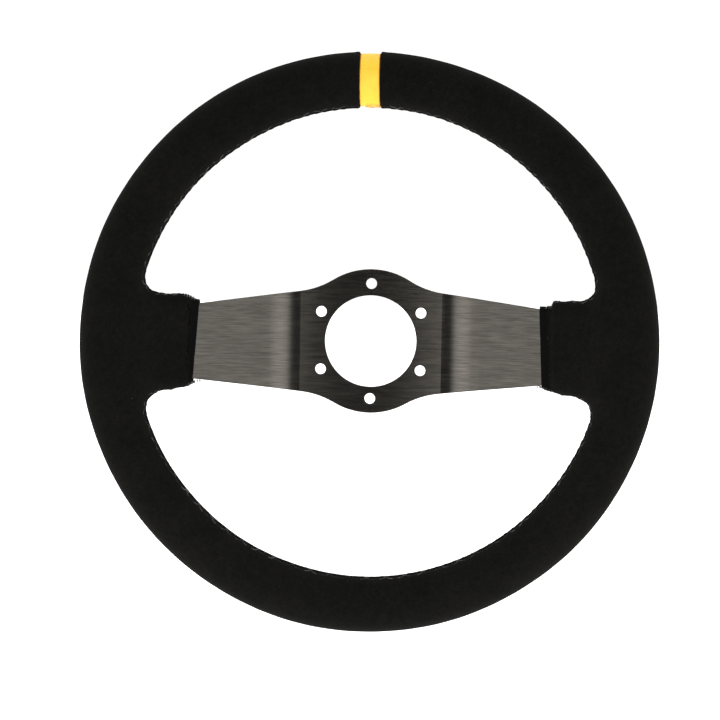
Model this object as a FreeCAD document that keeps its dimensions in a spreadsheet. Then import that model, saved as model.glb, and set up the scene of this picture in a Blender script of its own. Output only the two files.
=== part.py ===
import FreeCAD, Part
import math
import os
import Sketcher

# Dished two-spoke steering wheel with a sewn suede grip, in mm.
# The wheel axis is Y. The driver sits on the -Y side, twelve o'clock is +Z,
# and the rear mounting face of the hub lies on y = 0.

SIZES = {
    # whole wheel
    "wheel_diameter": 350.0,
    "grip_radial": 33.1,
    "grip_axial": 28.0,
    "rim_depth": 27.0,
    # hub and spokes, one pressed plate
    "plate_thickness": 4.0,
    "hub_diameter": 87.6,
    "bore_diameter": 55.6,
    "bolt_circle": 70.0,
    "bolt_hole": 6.5,
    "bolt_sink": 7.5,
    "bolt_count": 6,
    "plate_chamfer": 0.3,
    "spoke_top_root": 35.7,
    "spoke_top_tip": 14.3,
    "spoke_bottom_root": 36.2,
    "spoke_bottom_tip": 18.4,
    "hub_blend_radius": 50.0,
    "hub_flat_half": 43.0,
    "hub_bend_radius": 95.0,
    "tongue_bend_radius": 30.0,
    "tongue_clearance": 4.4,
    # ring inside the grip and the rivets that hold it
    "ring_width": 14.0,
    "ring_thickness": 5.0,
    "ring_edge_round": 1.5,
    "rivet_diameter": 4.5,
    "rivet_head": 8.0,
    "rivet_head_height": 1.8,
    "rivet_spacing": 10.0,
    "rivet_row_drop": 2.0,
    # suede cover and the foam under it
    "cover_thickness": 1.5,
    "boot_reach": 38.6,
    "hem_length": 6.6,
    "hem_lean": 3.0,
    "hem_rise": 1.8,
    "boot_top": 25.6,
    "boot_bottom": 29.2,
    "boot_half_thickness": 5.5,
    # marker band at twelve o'clock
    "marker_width": 12.3,
    "marker_thickness": 1.1,
    "marker_recess": 1.0,
    # threads
    "seam_cord": 1.2,
    "hem_cord": 0.8,
    "hem_stitch_inset": 3.0,
}

# Boot stations from the boot's first full section to inside the rim: share of the
# way along, rise of the top edge, rise of the bottom edge, growth of the half
# thickness and share of the way from the plate's own depth to the rim plane.
BOOT_STATIONS = (
    (0.000, 0.0, 0.0, 0.0, 0.00),
    (0.235, 0.7, 1.6, 0.8, 0.02),
    (0.440, 1.5, 4.2, 2.0, 0.12),
    (0.580, 4.9, 8.6, 3.5, 0.30),
    (0.680, 11.3, 13.8, 4.7, 0.55),
    (0.780, 17.8, 19.2, 5.4, 0.80),
    (1.000, 23.0, 22.5, 5.7, 1.00),
)

CORNER_RADIUS = 10.0
END_POINT = 2
START_POINT = 1
CENTRE_POINT = 3
ORIGIN = -1
LEVEL_AXIS = -1
UPRIGHT_AXIS = -2


def paired(value):
    if isinstance(value, Size):
        return value
    return Size(value, "(%r)" % float(value))


class Size:
    """A number kept together with the sheet formula that yields it."""

    def __init__(self, value, text):
        self.value = float(value)
        self.text = text

    def __add__(self, other):
        other = paired(other)
        return Size(self.value + other.value, "(%s + %s)" % (self.text, other.text))

    def __sub__(self, other):
        other = paired(other)
        return Size(self.value - other.value, "(%s - %s)" % (self.text, other.text))

    def __mul__(self, other):
        other = paired(other)
        return Size(self.value * other.value, "(%s * %s)" % (self.text, other.text))

    def __truediv__(self, other):
        other = paired(other)
        return Size(self.value / other.value, "(%s / %s)" % (self.text, other.text))

    def __neg__(self):
        return self * -1

    def root(self):
        return Size(math.sqrt(self.value), "sqrt(%s)" % self.text)


doc = FreeCAD.newDocument("steering_wheel")
sheet = doc.addObject("Spreadsheet::Sheet", "sizes")
for row, (alias, number) in enumerate(SIZES.items(), start=1):
    sheet.set("A%d" % row, alias)
    sheet.set("B%d" % row, str(number))
    sheet.setAlias("B%d" % row, alias)
doc.recompute()


def size(alias):
    return Size(getattr(sheet, alias), "sizes.%s" % alias)


# Shared derived sizes.
OUTER_RADIUS = size("wheel_diameter") / 2
RING_RADIUS = OUTER_RADIUS - size("grip_radial") / 2
INNER_RADIUS = OUTER_RADIUS - size("grip_radial")
PLATE = size("plate_thickness")
RIM_PLANE = -size("rim_depth")
RING_REAR = RIM_PLANE + size("ring_thickness") / 2
RING_FRONT = RIM_PLANE - size("ring_thickness") / 2
TONGUE_START = INNER_RADIUS - size("tongue_clearance")
TONGUE_END = RING_RADIUS + size("ring_width") / 2 - 2
TONGUE_DEPTH = RING_REAR + PLATE / 2
BOLT_RADIUS = size("bolt_circle") / 2
HEM_START = INNER_RADIUS - size("boot_reach")
BOOT_START = HEM_START + size("hem_length")
FAR = size("wheel_diameter")


def plate_slope():
    """Tangent of the spoke's slope, from its two bends and the dish between them."""
    bends = size("hub_bend_radius") + size("tongue_bend_radius")
    run = TONGUE_START - size("hub_flat_half")
    drop = -PLATE / 2 - TONGUE_DEPTH
    straight = (run * run - bends * drop * 2 + drop * drop).root()
    level = bends - drop
    return (run * bends - straight * level) / (bends * level + run * straight)


def plate_depth(across):
    """Depth of the middle of the sloped spoke at a distance from the axis."""
    near = size("hub_bend_radius")
    far = size("tongue_bend_radius")
    share = near / (near + far)
    mid_across = size("hub_flat_half") + (TONGUE_START - size("hub_flat_half")) * share
    mid_depth = -PLATE / 2 + (TONGUE_DEPTH + PLATE / 2) * share
    return mid_depth - plate_slope() * (across - mid_across)


def spoke_edge(root, tip, across):
    """Height of a spoke edge at a distance from the axis."""
    return size(root) + (size(tip) - size(root)) * across / RING_RADIUS


def new_body(name):
    return doc.addObject("PartDesign::Body", name)


def origin_feature(body, role):
    return [item for item in body.Origin.OriginFeatures if item.Role == role][0]


class Drawing:
    """A sketch on an origin plane of its body, dimensioned from the sheet."""

    def __init__(self, body, name, plane):
        self.sketch = body.newObject("Sketcher::SketchObject", name)
        self.sketch.AttachmentSupport = [(origin_feature(body, plane), "")]
        self.sketch.MapMode = "FlatFace"
        self.named = 0

    def line(self, start, end):
        piece = Part.LineSegment(flat(start), flat(end))
        return self.sketch.addGeometry(piece, False)

    def arc(self, centre, radius, first, last):
        circle = Part.Circle(flat(centre), FreeCAD.Vector(0, 0, 1), paired(radius).value)
        piece = Part.ArcOfCircle(circle, math.radians(first), math.radians(last))
        return self.sketch.addGeometry(piece, False)

    def circle(self, centre, radius):
        piece = Part.Circle(flat(centre), FreeCAD.Vector(0, 0, 1), radius.value)
        index = self.sketch.addGeometry(piece, False)
        self.pin(index, CENTRE_POINT, centre)
        self.dimension(radius, "Radius", index)
        return index

    def rule(self, *parts):
        return self.sketch.addConstraint(Sketcher.Constraint(*parts))

    def dimension(self, amount, *parts):
        index = self.rule(*parts, amount.value)
        self.named += 1
        label = "d%d" % self.named
        self.sketch.renameConstraint(index, label)
        self.sketch.setExpression("Constraints.%s" % label, amount.text)

    def across(self, index, point, amount):
        if isinstance(amount, Size):
            self.dimension(amount, "DistanceX", ORIGIN, START_POINT, index, point)
        else:
            self.rule("PointOnObject", index, point, UPRIGHT_AXIS)

    def up(self, index, point, amount):
        if isinstance(amount, Size):
            self.dimension(amount, "DistanceY", ORIGIN, START_POINT, index, point)
        else:
            self.rule("PointOnObject", index, point, LEVEL_AXIS)

    def pin(self, index, point, place):
        self.across(index, point, place[0])
        self.up(index, point, place[1])

    def smooth(self, first, second):
        self.rule("Tangent", first, END_POINT, second, START_POINT)

    def corner(self, first, second):
        self.rule("Coincident", first, END_POINT, second, START_POINT)

    def polygon(self, corners):
        ring = list(zip(corners, corners[1:] + corners[:1]))
        sides = [self.line(start, end) for start, end in ring]
        for side, following in zip(sides, sides[1:] + sides[:1]):
            self.corner(side, following)
        for side, (start, end) in zip(sides, ring):
            self.pin(side, START_POINT, start)
        return sides


def flat(place):
    return FreeCAD.Vector(paired(place[0]).value, paired(place[1]).value, 0)


def feature(body, kind, name, drawing=None):
    made = body.newObject("PartDesign::" + kind, name)
    if drawing is not None:
        made.Profile = drawing.sketch
        drawing.sketch.Visibility = False
    return made


def bind(target, prop, amount):
    target.setExpression(prop, amount.text)


def both_ways(made, length):
    made.SideType = "Symmetric"
    bind(made, "Length", length)


def mirrored(body, name, originals, whole=False):
    made = body.newObject("PartDesign::Mirrored", name)
    if whole:
        made.TransformMode = "Whole shape"
    else:
        made.Originals = originals
    made.MirrorPlane = (origin_feature(body, "YZ_Plane"), [""])
    body.Tip = made
    return made


def revolved(body, name, drawing, axis="V_Axis"):
    made = feature(body, "Revolution", name, drawing)
    made.ReferenceAxis = (drawing.sketch, [axis])
    made.Angle = 360
    return made


def draw_plate_profile(body):
    """Side view of one half of the bent plate, hub flat to riveted tongue."""
    drawing = Drawing(body, "plate_profile", "XY_Plane")
    near = size("hub_bend_radius")
    far = size("tongue_bend_radius")
    start = size("hub_flat_half")
    angle = math.degrees(math.atan(plate_slope().value))
    near_centre = (start, -PLATE / 2 - near)
    far_centre = (TONGUE_START, TONGUE_DEPTH + far)
    chains = []
    for hub_y, side in ((-PLATE, -1), (0, 1)):
        near_r = near + PLATE / 2 * side
        far_r = far - PLATE / 2 * side
        tongue_y = TONGUE_DEPTH + PLATE / 2 * side
        bend = drawing.arc(near_centre, near_r, 90 - angle, 90)
        unbend = drawing.arc(far_centre, far_r, 270 - angle, 270)
        hub = drawing.line((0, hub_y), (start, hub_y))
        slope = drawing.line(arc_end(near_centre, near_r, 90 - angle),
                             arc_end(far_centre, far_r, 270 - angle))
        tongue = drawing.line((TONGUE_START, tongue_y), (TONGUE_END, tongue_y))
        drawing.rule("Tangent", hub, END_POINT, bend, END_POINT)
        drawing.rule("Tangent", bend, START_POINT, slope, START_POINT)
        drawing.rule("Tangent", slope, END_POINT, unbend, START_POINT)
        drawing.rule("Tangent", unbend, END_POINT, tongue, START_POINT)
        drawing.rule("Horizontal", hub)
        drawing.rule("Horizontal", tongue)
        drawing.pin(hub, START_POINT, (0, hub_y))
        drawing.up(tongue, END_POINT, tongue_y)
        chains.append((hub, bend, unbend, tongue))
    front, rear = chains
    hub_edge = drawing.line((0, 0), (0, -PLATE))
    drawing.rule("Coincident", hub_edge, START_POINT, rear[0], START_POINT)
    drawing.rule("Coincident", hub_edge, END_POINT, front[0], START_POINT)
    tip = drawing.line((TONGUE_END, TONGUE_DEPTH - PLATE / 2),
                       (TONGUE_END, TONGUE_DEPTH + PLATE / 2))
    drawing.rule("Coincident", tip, START_POINT, front[3], END_POINT)
    drawing.rule("Coincident", tip, END_POINT, rear[3], END_POINT)
    drawing.rule("Vertical", tip)
    drawing.across(tip, START_POINT, TONGUE_END)
    drawing.rule("Coincident", front[1], CENTRE_POINT, rear[1], CENTRE_POINT)
    drawing.rule("Coincident", front[2], CENTRE_POINT, rear[2], CENTRE_POINT)
    drawing.pin(front[1], CENTRE_POINT, near_centre)
    drawing.pin(front[2], CENTRE_POINT, far_centre)
    return drawing


def arc_end(centre, radius, degrees):
    turn = math.radians(degrees)
    return (centre[0].value + radius.value * math.cos(turn),
            centre[1].value + radius.value * math.sin(turn))


def draw_plate_trim(body):
    """Area above and below the hub and spoke outline, cut away from the bent strip."""
    drawing = Drawing(body, "plate_trim", "XZ_Plane")
    trim_side(drawing, "spoke_top_root", "spoke_top_tip", 1)
    trim_side(drawing, "spoke_bottom_root", "spoke_bottom_tip", -1)
    return drawing


def trim_side(drawing, root_name, tip_name, way):
    hub = size("hub_diameter") / 2
    blend = size("hub_blend_radius")
    root = size(root_name)
    end_z = spoke_edge(root_name, tip_name, OUTER_RADIUS)
    lean = math.atan((root.value - end_z.value) / OUTER_RADIUS.value)
    # The blend arc touches the hub circle outside and the spoke edge from above.
    reach = hub.value + blend.value
    offset = root.value * math.cos(lean) + blend.value
    turn = math.asin(min(1.0, offset / reach)) - lean
    centre = (reach * math.cos(turn), way * reach * math.sin(turn))
    turn = math.degrees(turn)
    lean = math.degrees(lean)
    touch = arc_end((paired(centre[0]), paired(centre[1])), blend, -way * (90 + lean))
    if way > 0:
        hub_arc = drawing.arc((0, 0), hub, turn, 90)
        blend_arc = drawing.arc(centre, blend, 180 + turn, 270 - lean)
    else:
        hub_arc = drawing.arc((0, 0), hub, 270, 360 - turn)
        blend_arc = drawing.arc(centre, blend, 90 + lean, 180 - turn)
    inner, outer = (START_POINT, END_POINT) if way > 0 else (END_POINT, START_POINT)
    edge = drawing.line(touch, (OUTER_RADIUS, end_z * way))
    drawing.pin(hub_arc, CENTRE_POINT, (0, 0))
    drawing.dimension(hub, "Radius", hub_arc)
    drawing.across(hub_arc, outer, 0)
    drawing.rule("Tangent", hub_arc, inner, blend_arc, inner)
    drawing.rule("Tangent", blend_arc, outer, edge, START_POINT)
    drawing.dimension(blend, "Radius", blend_arc)
    drawing.pin(edge, END_POINT, (OUTER_RADIUS, end_z * way))
    mark = drawing.sketch.addGeometry(Part.Point(flat((0, root * way))), True)
    drawing.pin(mark, START_POINT, (0, root * way))
    drawing.rule("PointOnObject", mark, START_POINT, edge)
    side = drawing.line((OUTER_RADIUS, end_z * way), (OUTER_RADIUS, OUTER_RADIUS * way))
    roof = drawing.line((OUTER_RADIUS, OUTER_RADIUS * way), (0, OUTER_RADIUS * way))
    post = drawing.line((0, OUTER_RADIUS * way), (0, hub * way))
    drawing.corner(edge, side)
    drawing.corner(side, roof)
    drawing.corner(roof, post)
    drawing.rule("Coincident", post, END_POINT, hub_arc, outer)
    drawing.pin(side, END_POINT, (OUTER_RADIUS, OUTER_RADIUS * way))
    drawing.pin(roof, END_POINT, (0, OUTER_RADIUS * way))


def rivet_places():
    middle = -size("rivet_row_drop")
    spread = size("rivet_spacing")
    return [(RING_RADIUS, middle + spread * step) for step in (-1, 0, 1)]


def drill_rivet_holes(body, name):
    drawing = Drawing(body, name + "_layout", "XZ_Plane")
    for place in rivet_places():
        drawing.circle(place, size("rivet_diameter") / 2)
    holes = feature(body, "Pocket", name, drawing)
    both_ways(holes, FAR)
    return holes


def add_bolt_holes(body):
    drawing = Drawing(body, "bolt_layout", "XZ_Plane")
    drawing.circle((0, BOLT_RADIUS), size("bolt_hole") / 2)
    shank = feature(body, "Pocket", "bolt_hole_shank", drawing)
    both_ways(shank, FAR)
    sink = add_bolt_sink(body)
    ring = body.newObject("PartDesign::PolarPattern", "bolt_ring")
    ring.Originals = [shank, sink]
    ring.Axis = (origin_feature(body, "Y_Axis"), [""])
    ring.Angle = 360
    bind(ring, "Occurrences", size("bolt_count"))
    body.Tip = ring


def add_bolt_sink(body):
    """Small countersink on the driver's side of one bolt hole."""
    drawing = Drawing(body, "bolt_sink_profile", "XY_Plane")
    bind(drawing.sketch, "AttachmentOffset.Base.z", BOLT_RADIUS)
    wide = size("bolt_sink") / 2
    narrow = size("bolt_hole") / 2
    depth = wide - narrow
    drawing.polygon([(0, -PLATE), (wide, -PLATE), (narrow, depth - PLATE), (0, depth - PLATE)])
    sink = feature(body, "Groove", "bolt_sink", drawing)
    sink.ReferenceAxis = (drawing.sketch, ["V_Axis"])
    sink.Angle = 360
    return sink


def add_bore(body):
    drawing = Drawing(body, "bore_layout", "XZ_Plane")
    drawing.circle((0, 0), size("bore_diameter") / 2)
    bore = feature(body, "Pocket", "hub_bore", drawing)
    both_ways(bore, FAR)
    return bore


def is_wall(face):
    """True for the faces cut square through the plate, whose normals have no Y part."""
    low, high, near, far = face.ParameterRange
    return abs(face.normalAt((low + high) / 2, (near + far) / 2).y) < 0.05


def ease_edges(body, name):
    """Break the sharp rims between the plate's broad faces and its cut walls."""
    doc.recompute()
    base = body.Tip
    shape = base.Shape
    picked = []
    for spot, edge in enumerate(shape.Edges, start=1):
        walls = [is_wall(face) for face in shape.ancestorsOfType(edge, Part.Face)]
        if walls.count(True) == 1 and walls.count(False) == 1:
            picked.append("Edge%d" % spot)
    ease = body.newObject("PartDesign::Chamfer", name)
    ease.Base = (base, picked)
    bind(ease, "Size", size("plate_chamfer"))
    body.Tip = ease


def make_spoke_plate():
    body = new_body("spoke_plate")
    strip = feature(body, "Pad", "bent_strip", draw_plate_profile(body))
    both_ways(strip, size("hub_diameter") * 1.2)
    trim = feature(body, "Pocket", "outline_trim", draw_plate_trim(body))
    both_ways(trim, FAR)
    ease_edges(body, "eased_outline")
    drill_rivet_holes(body, "tongue_holes")
    mirrored(body, "other_half", [], whole=True)
    add_bore(body)
    add_bolt_holes(body)
    return body


def make_rim_ring():
    body = new_body("rim_ring")
    drawing = Drawing(body, "ring_section", "XY_Plane")
    half = size("ring_width") / 2
    near, far = RING_RADIUS - half, RING_RADIUS + half
    drawing.polygon([(near, RING_FRONT), (far, RING_FRONT), (far, RING_REAR), (near, RING_REAR)])
    bar = revolved(body, "rolled_bar", drawing)
    doc.recompute()
    rims = ["Edge%d" % (spot + 1) for spot, edge in enumerate(bar.Shape.Edges) if edge.Closed]
    rounding = body.newObject("PartDesign::Fillet", "bar_edges")
    rounding.Base = (bar, rims)
    bind(rounding, "Radius", size("ring_edge_round"))
    body.Tip = rounding
    holes = drill_rivet_holes(body, "ring_holes")
    mirrored(body, "ring_holes_left", [holes])
    return body


def make_rivets():
    body = new_body("spoke_rivets")
    drawing = Drawing(body, "rivet_profile", "XY_Plane")
    first = rivet_places()[0]
    bind(drawing.sketch, "AttachmentOffset.Base.x", first[0])
    bind(drawing.sketch, "AttachmentOffset.Base.z", first[1])
    shank = size("rivet_diameter") / 2
    head = size("rivet_head") / 2
    rise = size("rivet_head_height")
    rear = RING_REAR + PLATE
    shoulder = rise * 0.55
    drawing.polygon([
        (0, RING_FRONT - rise), (head * 0.55, RING_FRONT - rise), (head, RING_FRONT - shoulder),
        (head, RING_FRONT), (shank, RING_FRONT), (shank, rear), (head, rear),
        (head, rear + shoulder), (head * 0.55, rear + rise), (0, rear + rise)])
    rivet = revolved(body, "rivet", drawing)
    row = body.newObject("PartDesign::LinearPattern", "rivet_row")
    row.Originals = [rivet]
    row.Direction = (origin_feature(body, "Z_Axis"), [""])
    row.Occurrences = 3
    bind(row, "Length", size("rivet_spacing") * 2)
    body.Tip = row
    mirrored(body, "rivet_rows", [], whole=True)
    return body


def add_rim_oval(body, name, inset):
    """Oval grip section spun round the wheel axis."""
    drawing = Drawing(body, name + "_section", "XY_Plane")
    wide = size("grip_radial") / 2 - inset
    deep = size("grip_axial") / 2 - inset
    centre = FreeCAD.Vector(RING_RADIUS.value, RIM_PLANE.value, 0)
    ends = [centre + FreeCAD.Vector(wide.value, 0, 0), centre + FreeCAD.Vector(0, deep.value, 0)]
    kinds = ["EllipseMajorDiameter", "EllipseMinorDiameter"]
    if wide.value < deep.value:
        ends.reverse()
        kinds.reverse()
    index = drawing.sketch.addGeometry(Part.Ellipse(*ends, centre), False)
    drawing.pin(index, CENTRE_POINT, (RING_RADIUS, RIM_PLANE))
    wide_axis = drawing.line((RING_RADIUS - wide, RIM_PLANE), (RING_RADIUS + wide, RIM_PLANE))
    deep_axis = drawing.line((RING_RADIUS, RIM_PLANE - deep), (RING_RADIUS, RIM_PLANE + deep))
    for axis, kind in zip((wide_axis, deep_axis), kinds):
        drawing.sketch.toggleConstruction(axis)
        drawing.rule("InternalAlignment:" + kind, axis, index)
    drawing.rule("Horizontal", wide_axis)
    drawing.dimension(wide * 2, "DistanceX", wide_axis, START_POINT, wide_axis, END_POINT)
    drawing.dimension(deep * 2, "DistanceY", deep_axis, START_POINT, deep_axis, END_POINT)
    return revolved(body, name, drawing)


class Station:
    """One upright section of a boot: where it stands and how far it spreads."""

    def __init__(self, across, depth, half, top, bottom):
        self.across = across
        self.depth = depth
        self.half = half
        self.top = top
        self.bottom = bottom


def boot_stations():
    stations = []
    for share, rise, fall, growth, shift in BOOT_STATIONS:
        across = BOOT_START + (RING_RADIUS - 8 - BOOT_START) * share
        own = plate_depth(across)
        depth = own + (RIM_PLANE - own) * shift
        stations.append(Station(across, depth, size("boot_half_thickness") + growth,
                                size("boot_top") + rise, size("boot_bottom") + fall))
    return stations


def hem_stations():
    stations = []
    rise = size("hem_rise")
    for across in (HEM_START, BOOT_START + 1.5):
        stations.append(Station(across, plate_depth(across), PLATE / 2 + rise,
                                spoke_edge("spoke_top_root", "spoke_top_tip", across) + rise,
                                spoke_edge("spoke_bottom_root", "spoke_bottom_tip", across) + rise))
    return stations


def draw_slot(body, name, station, inset, lean=None):
    """Rounded upright section with straight flanks, standing across the spoke."""
    drawing = Drawing(body, name, "YZ_Plane")
    bind(drawing.sketch, "AttachmentOffset.Base.z", station.across)
    if lean is not None:
        drawing.sketch.AttachmentOffset = FreeCAD.Placement(
            FreeCAD.Vector(0, 0, station.across.value),
            FreeCAD.Rotation(FreeCAD.Vector(1, 0, 0), lean.value))
        bind(drawing.sketch, "AttachmentOffset.Base.z", station.across)
        bind(drawing.sketch, "AttachmentOffset.Rotation.Angle", lean)
    half = station.half - inset
    high = (station.depth, station.top - station.half)
    low = (station.depth, station.half - station.bottom)
    top = drawing.arc(high, half, 0, 180)
    bottom = drawing.arc(low, half, 180, 360)
    left = drawing.line((high[0] - half, high[1]), (low[0] - half, low[1]))
    right = drawing.line((low[0] + half, low[1]), (high[0] + half, high[1]))
    for first, second in ((top, left), (left, bottom), (bottom, right), (right, top)):
        drawing.smooth(first, second)
    drawing.pin(top, CENTRE_POINT, high)
    drawing.pin(bottom, CENTRE_POINT, low)
    drawing.dimension(half, "Radius", top)
    drawing.rule("Equal", top, bottom)
    return drawing


def loft(body, name, drawings, straight=False):
    made = feature(body, "AdditiveLoft", name, drawings[0])
    made.Sections = [drawing.sketch for drawing in drawings[1:]]
    made.Ruled = straight
    return made


def make_grip_blank(name, inset, with_hem):
    """Rim oval with a boot running in over each spoke, as one closed solid."""
    body = new_body(name)
    add_rim_oval(body, name + "_rim", inset)
    stations = boot_stations()
    if not with_hem:
        stations[0].across = stations[0].across + inset
    sections = [draw_slot(body, "%s_station_%d" % (name, spot), station, inset)
                for spot, station in enumerate(stations)]
    boots = [loft(body, name + "_boot", sections)]
    if with_hem:
        hem = [draw_slot(body, "%s_hem_%d" % (name, spot), station, paired(0), size("hem_lean"))
               for spot, station in enumerate(hem_stations())]
        boots.append(loft(body, name + "_hem", hem, straight=True))
    mirrored(body, name + "_left", boots)
    return body


def cut_away(name, base, tools):
    made = base
    for spot, tool in enumerate(tools):
        step = doc.addObject("Part::Cut", "%s_less_%d" % (name, spot))
        step.Base = made
        step.Tool = tool
        made = step
    made.Label = name
    return made


def make_marker_slot():
    box = doc.addObject("Part::Box", "marker_slot")
    bind(box, "Length", size("marker_width"))
    bind(box, "Width", size("grip_axial") * 2)
    bind(box, "Height", size("grip_radial") * 1.5)
    bind(box, "Placement.Base.x", -size("marker_width") / 2)
    bind(box, "Placement.Base.y", RIM_PLANE - size("grip_axial"))
    bind(box, "Placement.Base.z", RING_RADIUS - size("grip_radial") * 0.75)
    return box


def make_marker_band(slot):
    outer = new_body("marker_outside")
    add_rim_oval(outer, "marker_outside_rim", size("marker_recess"))
    inner = new_body("marker_inside")
    add_rim_oval(inner, "marker_inside_rim", size("marker_recess") + size("marker_thickness"))
    sleeve = doc.addObject("Part::Cut", "marker_sleeve")
    sleeve.Base = outer
    sleeve.Tool = inner
    band = doc.addObject("Part::Common", "marker_band")
    band.Base = sleeve
    band.Tool = slot
    return band


def on_skin(skin, place):
    """Nearest place on the cover's outside."""
    return skin.distToShape(Part.Vertex(FreeCAD.Vector(*place)))[1][0][0]


def seam_corner(station, edge):
    """Centre of the rounded window corner where a boot runs into the rim."""
    height = getattr(station, edge).value + CORNER_RADIUS
    across = math.sqrt((INNER_RADIUS.value - CORNER_RADIUS) ** 2 - height ** 2)
    return across, height


def boot_seam_path(skin, way):
    """Run of the seam along one boot, from the hem to the rim's inner circle."""
    stations = boot_stations()
    hem = hem_stations()[0]
    edge = "top" if way > 0 else "bottom"
    places = [(hem.across + 1.5, hem.depth, getattr(hem, edge)),
              (BOOT_START - 1.5, plate_depth(BOOT_START), getattr(hem, edge) + 0.8)]
    for station in stations[:3]:
        places.append((station.across + 1.5, station.depth, getattr(station, edge)))
    places = [tuple(amount.value for amount in place) for place in places]
    across, height = seam_corner(stations[2], edge)
    depth = (stations[3].depth.value + RIM_PLANE.value) / 2
    for degrees in (-45, -12):
        corner = math.radians(degrees)
        places.append((across + CORNER_RADIUS * math.cos(corner), depth,
                       height + CORNER_RADIUS * math.sin(corner)))
    path = [on_skin(skin, (x, y, z * way)) for x, y, z in places]
    turn = math.atan2(height, across) + math.radians(1.5)
    path.append(rim_seam_place(turn, way))
    return path, turn


def rim_seam_place(turn, way):
    inner = INNER_RADIUS.value
    return FreeCAD.Vector(inner * math.cos(turn), RIM_PLANE.value, way * inner * math.sin(turn))


def cord_disc(centre, along):
    return Part.Wire([Part.makeCircle(size("seam_cord").value / 2, centre, along)])


def make_seam_cord(name, skin, way):
    """Round cord standing for one window's hand-sewn seam, laid on the cover."""
    path, turn = boot_seam_path(skin, way)
    curve = Part.BSplineCurve()
    curve.interpolate(path)
    along = curve.tangent(curve.FirstParameter)[0]
    right = Part.Wire([curve.toShape()]).makePipeShell([cord_disc(path[0], along)], True, True)
    left = right.mirror(FreeCAD.Vector(), FreeCAD.Vector(1, 0, 0))
    across = FreeCAD.Vector(-math.sin(turn), 0, way * math.cos(turn))
    disc = Part.Face(cord_disc(path[-1], across))
    sweep = 180 - 2 * math.degrees(turn)
    rim = disc.revolve(FreeCAD.Vector(), FreeCAD.Vector(0, -way, 0), sweep)
    cord = doc.addObject("Part::Feature", name)
    cord.Shape = rim.fuse([right, left]).Solids[0]
    cord.Placement = FreeCAD.Placement()
    return cord


def make_hem_cord(name, side):
    """Closed thread loop sewn round the boot's turned hem."""
    body = new_body(name)
    across = HEM_START + size("hem_stitch_inset")
    rise = size("hem_rise") + size("hem_cord") / 2 + 0.05
    station = Station(across * side, plate_depth(across), PLATE / 2 + rise,
                      spoke_edge("spoke_top_root", "spoke_top_tip", across) + rise,
                      spoke_edge("spoke_bottom_root", "spoke_bottom_tip", across) + rise)
    loop = draw_slot(body, name + "_loop", station, paired(0), size("hem_lean") * side)
    section = Drawing(body, name + "_section", "XY_Plane")
    section.circle((station.across, station.depth - station.half), size("hem_cord") / 2)
    pipe = feature(body, "AdditivePipe", name + "_cord", section)
    pipe.Spine = (loop.sketch, [])
    body.Tip = pipe
    return body


def checked(parts):
    for item in doc.Objects:
        if {"Invalid", "Error"} & set(item.State):
            raise ValueError("%s is %s" % (item.Name, item.State))
    for part in parts:
        if part.Shape.isNull() or not part.Shape.isValid():
            raise ValueError("%s has no valid shape" % part.Label)


def main():
    plate = make_spoke_plate()
    ring = make_rim_ring()
    rivets = make_rivets()
    slot = make_marker_slot()
    marker = make_marker_band(slot)
    cover_blank = make_grip_blank("cover_blank", paired(0), True)
    foam_blank = make_grip_blank("foam_blank", size("cover_thickness"), False)
    doc.recompute()
    skin = cover_blank.Shape.Shells[0]
    seams = [make_seam_cord("seam_thread_upper", skin, 1),
             make_seam_cord("seam_thread_lower", skin, -1)]
    hems = [make_hem_cord("hem_thread_right", 1), make_hem_cord("hem_thread_left", -1)]
    foam = cut_away("foam_core", foam_blank, [ring, plate, rivets, marker] + seams)
    cover = cut_away("suede_cover", cover_blank, [foam_blank, plate, slot] + seams)
    doc.recompute()
    parts = [plate, ring, rivets, foam, cover, marker] + seams + hems
    checked(parts)
    os.makedirs("parts", exist_ok=True)
    for part in parts:
        part.Shape.exportStep("parts/%s.step" % part.Label)


main()
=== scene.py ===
import math

import bpy
import numpy as np
from mathutils import Matrix, Vector


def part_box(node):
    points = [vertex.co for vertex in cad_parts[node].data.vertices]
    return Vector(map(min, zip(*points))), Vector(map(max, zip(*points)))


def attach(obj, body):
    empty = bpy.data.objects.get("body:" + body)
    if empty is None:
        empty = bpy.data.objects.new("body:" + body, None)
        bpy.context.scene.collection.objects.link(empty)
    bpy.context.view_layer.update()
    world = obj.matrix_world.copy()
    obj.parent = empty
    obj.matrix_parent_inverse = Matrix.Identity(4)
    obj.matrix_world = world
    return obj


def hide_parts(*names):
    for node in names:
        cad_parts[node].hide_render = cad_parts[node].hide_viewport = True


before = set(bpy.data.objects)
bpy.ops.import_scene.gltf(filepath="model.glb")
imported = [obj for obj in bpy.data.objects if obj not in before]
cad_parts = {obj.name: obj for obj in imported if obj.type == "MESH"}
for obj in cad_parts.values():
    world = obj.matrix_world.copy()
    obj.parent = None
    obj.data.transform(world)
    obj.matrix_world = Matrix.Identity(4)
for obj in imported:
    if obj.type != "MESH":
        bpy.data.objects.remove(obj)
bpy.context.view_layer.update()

MM = 0.001

# Lengths are millimetres until a mesh or a light is made, and metres from there on.

# Grip: an oval section carried round the wheel, and the hide stretched over it.
LOW, HIGH = (np.array(corner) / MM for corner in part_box("suede_cover"))
OUTER = HIGH[0]
HALF_RADIAL, HALF_AXIAL = 16.55, 14.0
RING = OUTER - HALF_RADIAL
RIM_Y = LOW[1] + HALF_AXIAL
HIDE = 1.5
SEAM_FORWARD = 3.8
SEAM_DEPTH, SEAM_WIDTH = 0.5, 0.75
SWELL_HEIGHT, SWELL_PLACE, SWELL_WIDTH = 0.12, 2.2, 1.3
FULLER_AT_SEAM = 0.55

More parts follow.
